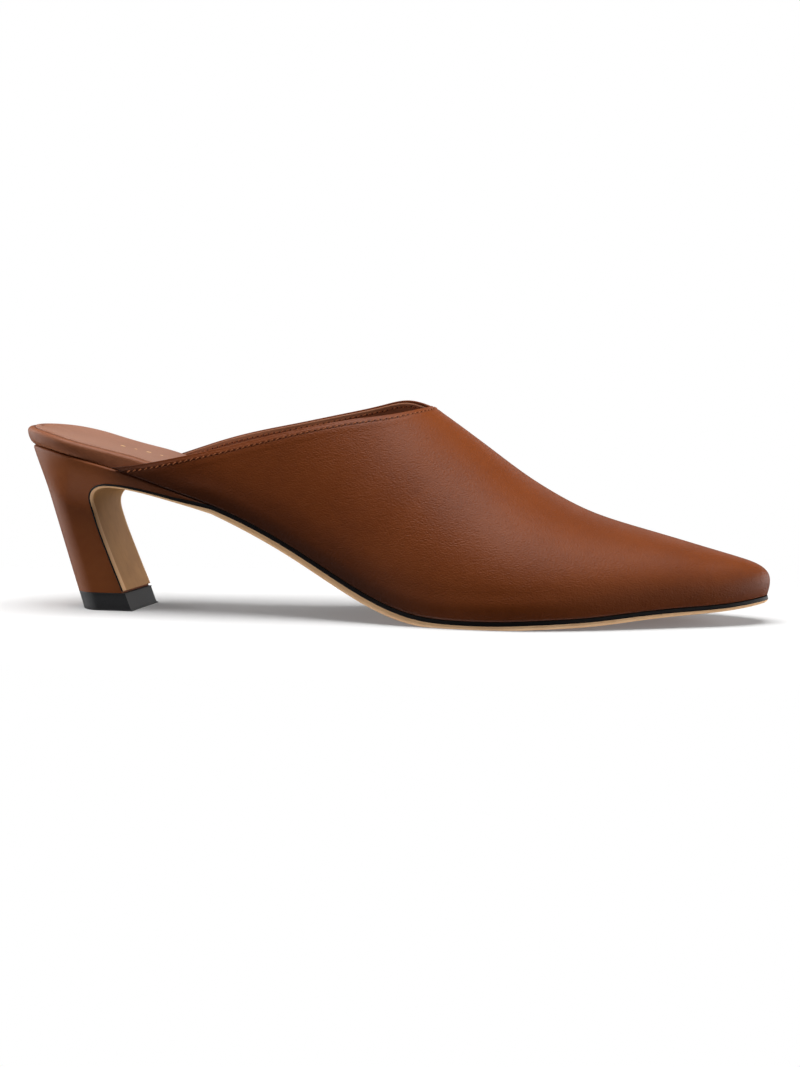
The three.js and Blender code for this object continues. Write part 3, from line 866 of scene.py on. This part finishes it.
def make_heel(materials):
    """The leather-covered heel block, cut back by the heel breast."""
    low = TOP_PIECE_HEIGHT + COVER_GAP
    stations = np.concatenate([even(0, 1, 48)[:-1], even(1, station_at(HEEL_FRONT), 60)])
    levels = np.concatenate([even(0, 0.03, 9)[:-1], even(0.03, 0.45, 40)[:-1], even(0.45, 1, 34)])
    rings = []
    for s in stations:
        runs = {}
        for side in SIDES:
            top = SEAM_Z(heel_seat(side, s)[0])
            z = top + (low - top) * levels
            lip = HEEL_LIP * (1 - np.sqrt(1 - np.clip(1 - (top - z) / HEEL_LIP, 0, 1) ** 2))
            seat = heel_seat(side, np.full(len(z), s), lip)
            runs[side] = heel_point(seat, z)
        rings.append(np.concatenate([runs[LATERAL], runs[MEDIAL][::-1]]))
    piece = ring_loft(np.array(rings)).make("heel_cover", [materials["heel"]])

    u = even(0, BREAST_END, 260)
    normal = breast_normal(u)
    edge_x = BREAST_AT["x"](u) - normal[:, 0] * COVER_GAP
    edge_z = BREAST_AT["z"](u) - normal[:, 1] * COVER_GAP
    ahead, aside, below = 160, 80, -40  # well outside the heel
    outline_x = np.concatenate([[edge_x[0]], edge_x, [ahead, ahead]])
    outline_z = np.concatenate([[below], edge_z, [edge_z[-1], below]])
    sides = np.array([stack(outline_x, y, outline_z) for y in (-aside, aside)])
    cut(piece, ring_loft(sides).make("breast_tool", []))
    sharpen(piece, 35)
    settle(piece, "heel")


def cut(piece, tool):
    """Takes the tool's shape out of the piece, for good."""
    modifier = piece.modifiers.new("cut", "BOOLEAN")
    modifier.operation = "DIFFERENCE"
    modifier.solver = "EXACT"
    modifier.object = tool
    graph = bpy.context.evaluated_depsgraph_get()
    mesh = bpy.data.meshes.new_from_object(piece.evaluated_get(graph))
    piece.modifiers.clear()
    piece.data = mesh
    bpy.data.objects.remove(tool)


def make_top_piece(materials):
    """The black top piece, with softly rounded edges all round."""
    turn = np.linspace(0, math.pi / 2, 6)
    foot = [(EDGE_ROUND * (1 - math.sin(a)), EDGE_ROUND * (1 - math.cos(a))) for a in turn]
    head = [(TOP_PIECE_HEIGHT - z * 0.6, inset * 0.6) for z, inset in foot[::-1]]
    rings = np.array([top_piece_ring(z, inset) for z, inset in foot + head])
    piece = ring_loft(rings).make("top_piece_rubber", [materials["rubber"]])
    sharpen(piece, 35)
    settle(piece, "top_piece")


def top_piece_ring(z, inset):
    """Outline of the top piece at height z: lateral front corner, round the back, medial front."""
    front_x = TOP_PIECE_FRONT - TOP_PIECE_FRONT_LEAN * z - inset
    sides = {}
    for side in SIDES:
        low, high = 0.2, station_at(HEEL_FRONT)
        for _ in range(HALVINGS):
            middle = (low + high) / 2
            behind = heel_point(heel_seat(side, middle), z)[0] < front_x
            low, high = (middle, high) if behind else (low, middle)
        s = np.concatenate([even(0, 1, 36)[:-1], even(1, low, 24)])
        sides[side] = heel_point(heel_seat(side, s), np.full(len(s), z))
    ring = np.concatenate([sides[LATERAL][::-1], sides[MEDIAL][1:]])
    centre = ring.mean(axis=0)
    shrink = 1 - inset / TOP_PIECE_HALF
    ring[:, 1] = centre[1] + (ring[:, 1] - centre[1]) * shrink
    ring[:, 0] = np.maximum(ring[:, 0], ring[:, 0].min() + inset)
    return ring


# ---- outsole

FACE_MARK, PAINT_MARK, BARE_LIT_MARK = range(3)  # material numbers of the sole's faces


def edge_rows(thick):
    """Rows of (depth, inset) down the sole's edge, and how many of them end at the paint."""
    edge = min(EDGE_HEIGHT, EDGE_SHARE * thick)
    bevel = min(EDGE_BEVEL, BEVEL_SHARE * thick)
    rest = thick - edge
    paint = max(PAINT_SHARE * edge, PAINT_LEAST)
    painted = [(0.0, 2.2), (0.0, EDGE_SOFT), (0.05, 0.04), (EDGE_SOFT, 0.0)]
    painted += [(0.7 * paint, -0.06), (paint, -0.05)]
    plain = [(0.92 * edge, 0.0), (edge, 0.1)]
    for t in np.linspace(0, 1, 9)[1:]:
        turn = t * math.pi / 2
        plain.append((edge + rest * math.sin(turn), 0.1 + bevel * (1 - math.cos(turn))))
    return np.array(painted + plain), len(painted)


def sole_ring(runs, across, hollow):
    """Ring of the sole from the lateral and medial runs; hollow lifts the middle of the face."""
    lateral, medial, up = runs
    w = np.linspace(-1, 1, across + 2)[1:-1]
    under = bridge(lateral[-1], medial[-1], w) + up * (hollow * (1 - w ** 2))[:, None]
    return np.concatenate([lateral, under, medial[::-1], bridge(medial[0], lateral[0], w)])


def breast_ring(u, across):
    profile, _ = edge_rows(BREAST_AT["thick"](u))
    normal = breast_normal(u)
    runs = []
    foot = TOP_PIECE_HEIGHT + COVER_GAP
    x, z = BREAST_AT["x"](u), BREAST_AT["z"](u)
    for side in SIDES:
        y = heel_side_y(side, x, z)
        depth, inset = profile.T
        points = stack(x + normal[0] * depth, y - side * inset, z + normal[1] * depth)
        short = np.maximum(foot - points[:, 2], 0)
        points[:, 2] += short
        points[:, 0] -= short * FLAP_FOOT_LEAN
        runs.append(points)
    up = np.array([-normal[0], 0, -normal[1]])
    hollow = FLAP_HOLLOW * smooth((u + 0.5) / 2) * smooth((8.5 - u) / 3)
    return sole_ring((*runs, up), across, hollow)


def waist_ring(s, across):
    profile, _ = edge_rows(SOLE_AT["thick"](station_x(s)))
    runs = []
    for side in SIDES:
        plan = inset_outline(side, np.full(len(profile), s), profile[:, 1])
        normal = unit(stack(slope(SEAM_Z, plan[:, 0]), np.full(len(plan), -1.0)))
        points = stack(
            plan[:, 0] + normal[:, 0] * profile[:, 0],
            plan[:, 1],
            SEAM_Z(plan[:, 0]) + normal[:, 1] * profile[:, 0],
        )
        runs.append(points)
    return sole_ring((*runs, np.zeros(3)), across, 0.0)


def make_outsole(materials):
    """Thin leather sole: black painted edge, tan bevel and face, and the flap up the heel breast."""
    across = 24
    breast = [breast_ring(u, across) for u in even(FLAP_START, BREAST_END, 170)[:-1]]
    first = station_at(BREAST["x"][-1])
    stations = np.concatenate([even(first, 2, 150)[:-1], even(2, 3, 44)])
    waist = [waist_ring(s, across) for s in stations]
    rings = np.array(breast + waist)
    rings[..., 2] = np.maximum(rings[..., 2], 0.0)
    profile, painted = edge_rows(3.0)  # any thickness gives the same count
    count = len(profile)
    # the bevel below the paint takes the lighter tan, partly painted light
    down = [PAINT_MARK] * (painted - 1) + [BARE_LIT_MARK] * (count - painted)
    under = [FACE_MARK] * (across + 1)
    over = [PAINT_MARK] * (across + 1)
    builder = ring_loft(rings, marks=down + under + down[::-1] + over)
    piece = builder.make("outsole_leather", [materials[name] for name in ("sole", "edge", "bare_lit")])
    piece.visible_diffuse = False  # the shadow on the floor stays neutral
    sharpen(piece, 40)
    settle(piece, "outsole")


# ---- materials


class Nodes:
    """Short calls for building the node tree of a material or of the world."""

    def __init__(self, name, library=bpy.data.materials):
        self.owner = library.new(name)
        self.owner.use_nodes = True
        self.tree = self.owner.node_tree
        self.coordinates = self.tree.nodes.new("ShaderNodeTexCoord").outputs
        self.place = self.coordinates["Object"]

    def add(self, kind, **settings):
        node = self.tree.nodes.new("ShaderNode" + kind)
        for key, value in settings.items():
            if hasattr(node, key):
                setattr(node, key, value)
            else:
                self.put(node.inputs[key.replace("_", " ")], value)
        return node

    def put(self, socket, value):
        """Links a socket or sets it; None leaves it as it is."""
        if isinstance(value, bpy.types.NodeSocket):
            self.tree.links.new(value, socket)
        elif value is not None:
            socket.default_value = value

    def scaled(self, *shares):
        return self.add("Mapping", Vector=self.place, Scale=shares).outputs["Vector"]

    def noise(self, size_mm, detail, rough, vector=None, distortion=0.0):
        more = {"Detail": detail, "Roughness": rough, "Distortion": distortion}
        node = self.add("TexNoise", Vector=vector or self.place, Scale=1000 / size_mm, **more)
        return node.outputs["Fac"]

    def math(self, operation, a, b=0.0):
        node = self.add("Math", operation=operation)
        self.put(node.inputs[0], a)
        self.put(node.inputs[1], b)
        return node.outputs[0]

    def times(self, value, factor):
        return self.math("MULTIPLY", value, factor)

    def scale_add(self, value, factor, offset):
        return self.math("ADD", self.times(value, factor), offset)

    def ramp(self, value, low, high):
        span = {"From_Min": low, "From_Max": high}
        node = self.add("MapRange", interpolation_type="SMOOTHSTEP", Value=value, **span)
        return node.outputs["Result"]

    def mix(self, factor, a, b):
        node = self.add("Mix", data_type="RGBA")
        self.put(node.inputs[0], factor)
        self.put(node.inputs[6], a)
        self.put(node.inputs[7], b)
        return node.outputs[2]

    def attribute(self, name):
        return self.add("Attribute", attribute_name=name).outputs["Fac"]

    def bump(self, height, depth_mm, strength, under=None):
        depth = depth_mm / 1000
        node = self.add("Bump", Height=height, Strength=strength, Distance=depth, Normal=under)
        return node.outputs["Normal"]

    def finish(self, colour, rough, normal=None, specular=0.5, **more):
        """Wires the shader up and gives the material."""
        more |= {"Base_Color": colour, "Roughness": rough, "Normal": normal}
        more["Specular_IOR_Level"] = specular
        shader = self.tree.nodes["Principled BSDF"]
        for key, value in more.items():
            self.put(shader.inputs[key.replace("_", " ")], value)
        return self.owner


def rgb(r, g, b):
    """Linear colour from sRGB values of 0 to 255."""
    return tuple(((v / 255 + 0.055) / 1.055) ** 2.4 if v > 10 else v / 3294 for v in (r, g, b)) + (1.0,)


GRAIN_SIZE = 0.52


def calf(nodes, deep, base, light, grain_depth):
    """Smooth calf leather: soft mottling, fine wrinkled grain and pores."""
    cloud = nodes.noise(26, 3, 0.5)
    mottle = nodes.noise(2.6, 3, 0.6)
    tone = nodes.math("ADD", nodes.times(cloud, 0.7), nodes.times(mottle, 0.3))
    colour = nodes.mix(nodes.ramp(tone, 0.3, 0.56), deep, base)
    colour = nodes.mix(nodes.times(nodes.ramp(tone, 0.5, 0.7), 0.5), colour, light)
    stretch = nodes.scaled(0.8, 1.0, 1.1)
    wrinkle = nodes.noise(GRAIN_SIZE, 2, 0.5, stretch, 0.3)
    cells = nodes.add("TexVoronoi", Vector=stretch, Scale=1000 / GRAIN_SIZE, feature="SMOOTH_F1")
    cells.inputs["Smoothness"].default_value = 0.35
    grain = nodes.math("ADD", wrinkle, nodes.times(cells.outputs["Distance"], 0.55))
    fine = nodes.bump(nodes.noise(0.24, 2, 0.6), grain_depth * 0.22, 0.6)
    return colour, grain, nodes.bump(grain, grain_depth, 0.9, fine)


def upper_leather_material():
    """Cognac calf, with painted shade in the stitch groove and above the sole."""
    nodes = Nodes("calf_upper")
    tones = rgb(119, 57, 21), rgb(127, 62, 23), rgb(135, 68, 28)
    colour, grain, normal = calf(nodes, *tones, 0.15)
    # painted shade along the stitch groove
    off_row = nodes.math("SUBTRACT", nodes.attribute("edge_distance"), STITCH_DISTANCE)
    groove = nodes.ramp(nodes.math("ABSOLUTE", off_row), 0.62, 0.1)
    colour = nodes.mix(nodes.times(groove, 0.35), colour, rgb(52, 22, 9))
    # painted shade: darker brown where the leather turns under to the sole
    shade = nodes.times(nodes.attribute("low_shade"), 0.8)
    colour = nodes.mix(shade, colour, rgb(46, 18, 6))
    rough = nodes.scale_add(grain, 0.08, 0.38)
    return nodes.finish(colour, rough, normal, 0.18, Coat_Weight=0.02, Coat_Roughness=0.4)


def heel_leather_material():
    """The same calf stretched over the heel block, in lighter tones than the upper's as painted light,
    with painted shade along the wedge.
    """
    nodes = Nodes("calf_heel")
    # lighter than the upper's tones of the same calf: painted light on the heel
    tones = rgb(134, 70, 32), rgb(142, 77, 36), rgb(149, 83, 42)
    colour, grain, normal = calf(nodes, *tones, 0.06)
    # painted shade along the wedge, under the quarter's tail
    along = nodes.add("SeparateXYZ", Vector=nodes.place).outputs["X"]
    start, end = ((x - ORIGIN[0]) / 1000 for x in WEDGE_SHADE)
    shade = nodes.times(nodes.ramp(along, start, end), 0.65)
    colour = nodes.mix(shade, colour, rgb(62, 26, 9))
    rough = nodes.scale_add(grain, 0.06, 0.4)
    return nodes.finish(colour, rough, normal, 0.27)


def rim_material():
    nodes = Nodes("calf_rim")
    tones = rgb(132, 76, 48), rgb(144, 86, 56), rgb(152, 95, 65)
    colour, grain, normal = calf(nodes, *tones, 0.08)
    rough = nodes.scale_add(grain, 0.06, 0.46)
    return nodes.finish(colour, rough, normal, 0.28)


def pale_calf_material(name, *tones):
    """Smooth lining leather, paler than the upper."""
    nodes = Nodes(name)
    colour, grain, normal = calf(nodes, *tones, 0.06)
    rough = nodes.scale_add(grain, 0.08, 0.42)
    return nodes.finish(colour, rough, normal, 0.3)


def thread_material():
    """Waxed thread: fine slanted plies."""
    nodes = Nodes("waxed_thread")
    fibre = nodes.noise(0.35, 2, 0.5)
    colour = nodes.mix(nodes.ramp(fibre, 0.35, 0.65), rgb(140, 77, 41), rgb(170, 100, 60))
    normal = nodes.bump(nodes.noise(0.12, 2, 0.5), 0.03, 0.8)
    return nodes.finish(colour, 0.6, normal, 0.2)


def hole_material():
    """Shadowed leather in the needle holes."""
    nodes = Nodes("needle_hole")
    colour = nodes.mix(nodes.noise(0.4, 2, 0.5), rgb(56, 25, 11), rgb(82, 38, 18))
    normal = nodes.bump(nodes.noise(0.2, 2, 0.5), 0.03, 0.8)
    return nodes.finish(colour, 0.8, normal, 0.1)


def tan_material(name, deep, base, fibre):
    """Natural tan sole leather: fibre streaks along the shoe and faint blotches."""
    nodes = Nodes(name)
    streak = nodes.noise(1.4, 3, 0.6, nodes.scaled(0.12, 1.0, 0.4))
    blotch = nodes.noise(9, 3, 0.5)
    colour = nodes.mix(nodes.ramp(blotch, 0.3, 0.7), deep, base)
    colour = nodes.mix(nodes.times(nodes.ramp(streak, 0.45, 0.75), 0.35), colour, fibre)
    normal = nodes.bump(nodes.noise(0.5, 3, 0.6), 0.03, 0.7)
    return nodes.finish(colour, 0.55, normal, 0.3)


def sole_material():
    return tan_material("sole_leather", rgb(196, 143, 92), rgb(208, 154, 100), rgb(184, 131, 82))


# Bare edge leather, paler than the sole's face: partly its own tone, partly painted light standing in
# for light thrown up under the edge.
def lit_bare_edge_material():
    return tan_material("bare_lit_edge", rgb(240, 190, 140), rgb(250, 202, 152), rgb(228, 176, 124))


def edge_material():
    """Black edge paint with a soft gloss."""
    nodes = Nodes("edge_paint")
    grain = nodes.noise(0.9, 3, 0.6)
    colour = nodes.mix(grain, rgb(14, 13, 14), rgb(26, 25, 26))
    rough = nodes.scale_add(grain, 0.12, 0.42)
    normal = nodes.bump(nodes.noise(1.6, 3, 0.6), 0.05, 0.6)
    return nodes.finish(colour, rough, normal, 0.16)


def rubber_material():
    """Matt black rubber with a fine grain."""
    nodes = Nodes("black_rubber")
    speck = nodes.noise(0.5, 3, 0.6)
    colour = nodes.mix(speck, rgb(40, 40, 42), rgb(58, 58, 60))
    normal = nodes.bump(speck, 0.03, 0.7)
    return nodes.finish(colour, 0.5, normal)


def foil_material():
    nodes = Nodes("gold_foil")
    worn = nodes.ramp(nodes.noise(0.6, 3, 0.6), 0.35, 0.6)
    colour = nodes.mix(worn, rgb(226, 176, 108), rgb(252, 216, 146))
    return nodes.finish(colour, 0.35, Metallic=0.4)


def lining_material():
    return pale_calf_material("lining_leather", rgb(148, 94, 65), rgb(160, 105, 75), rgb(170, 115, 84))


def sock_material():
    return pale_calf_material("sock_leather", rgb(152, 104, 82), rgb(161, 112, 89), rgb(169, 120, 96))


def make_materials():
    return {
        "leather": upper_leather_material(),
        "heel": heel_leather_material(),
        "rim": rim_material(),
        "lining": lining_material(),
        "sock": sock_material(),
        "thread": thread_material(),
        "hole": hole_material(),
        "sole": sole_material(),
        "bare_lit": lit_bare_edge_material(),
        "edge": edge_material(),
        "rubber": rubber_material(),
        "foil": foil_material(),
    }


# ---- studio

FLOOR_RADIUS = 1500.0
FLOOR_CORNERS = 96
FLOOR_COVER = 0.88  # how much of the floor shows at its middle
FLOOR_FADE = (0.045, 0.15)  # metres to the side over which the floor melts into the surroundings
FLOOR_STRETCH = 0.42  # the same along the shoe, as a share
AIM = (130.1, 0.0, 26.6)
CAMERA = (269.2, -632.7, 79.7)
MIDDLE = Vector(to_row(np.array(AIM)))
LENS = 66.58
WORLD_GLOW = 0.04


def make_floor():
    """A pale floor that catches shadows, throws no light back and fades out at its rim."""
    turn = np.linspace(0, 2 * math.pi, FLOOR_CORNERS, endpoint=False)
    rim = stack(FLOOR_RADIUS * np.cos(turn) + AIM[0], FLOOR_RADIUS * np.sin(turn), 0.0)
    builder = Builder()
    builder.add_face(builder.add_points(rim))
    nodes = Nodes("studio_floor")
    tone = nodes.mix(nodes.noise(400, 2, 0.5), (0.89, 0.89, 0.89, 1), (0.91, 0.91, 0.91, 1))
    away = nodes.add("VectorMath", operation="LENGTH")
    nodes.put(away.inputs[0], nodes.scaled(FLOOR_STRETCH, 1.0, 1.0))
    near, far = FLOOR_FADE
    alpha = nodes.times(nodes.ramp(away.outputs["Value"], far, near), FLOOR_COVER)
    material = nodes.finish(tone, 0.9, specular=0.1, Alpha=alpha)
    floor = builder.make("floor", [material])
    floor.visible_diffuse = False
    floor.visible_glossy = False
    floor.visible_shadow = False


def aim_at_shoe(name, data, place):
    """Adds a camera or a light at a place and turns it to the middle of the shoe."""
    thing = bpy.data.objects.new(name, data)
    thing.location = place
    thing.rotation_euler = (place - MIDDLE).to_track_quat("Z", "Y").to_euler()
    bpy.context.scene.collection.objects.link(thing)
    return thing


def make_light(name, azimuth, elevation, distance, size, radiance):
    """A soft box round the shoe: azimuth 0 is the outer side, 90 the toe; distance in metres."""
    data = bpy.data.lights.new(name, "AREA")
    data.shape = "RECTANGLE"
    data.size, data.size_y = size
    data.energy = radiance * math.pi * size[0] * size[1]
    a = math.radians(azimuth)
    e = math.radians(elevation)
    away = Vector((math.sin(a) * math.cos(e), -math.cos(a) * math.cos(e), math.sin(e)))
    aim_at_shoe(name, data, MIDDLE + away * distance)


def make_world():
    """White surroundings to look at; the light that they give is dim, and dimmest from below."""
    nodes = Nodes("studio", bpy.data.worlds)
    height = nodes.add("SeparateXYZ", Vector=nodes.coordinates["Generated"]).outputs["Z"]
    glow = nodes.times(nodes.ramp(height, -0.3, 1.0), WORLD_GLOW)
    seen = nodes.add("LightPath").outputs["Is Camera Ray"]
    back = nodes.tree.nodes["Background"]
    back.inputs["Color"].default_value = (1, 1, 1, 1)
    nodes.put(back.inputs["Strength"], nodes.math("MAXIMUM", glow, seen))
    bpy.context.scene.world = nodes.owner


def make_camera():
    data = bpy.data.cameras.new("camera")
    data.lens = LENS
    data.sensor_width = 36
    bpy.context.scene.camera = aim_at_shoe("camera", data, Vector(to_row(np.array(CAMERA))))


def make_studio():
    make_floor()
    make_world()
    make_camera()
    make_light("overhead", 5, 83, 1.0, (0.82, 0.82), 5.8)
    make_light("toe_side", 106, 6, 0.85, (1.15, 0.55), 3.9)
    make_light("toe_front", 48, 13, 0.8, (0.5, 0.3), 0.6)
    make_light("heel_side", -88, 12, 0.5, (0.7, 0.5), 1.9)
    make_light("behind", 178, 18, 1.0, (1.0, 0.22), 0.8)
    make_light("below", 0, -90, 0.6, (0.9, 0.45), 2.3)
    settings = bpy.context.scene.view_settings
    settings.view_transform = "Standard"
    settings.look = "None"


# ---- the shoe

materials = make_materials()
upper, upper_normals, collar_distance = make_upper(materials)
make_collar_stitches(upper, upper_normals, collar_distance, materials)
make_footbed(materials)
make_sock(materials)
make_foil_dots(materials)
make_outsole(materials)
make_heel(materials)
make_top_piece(materials)
make_studio()
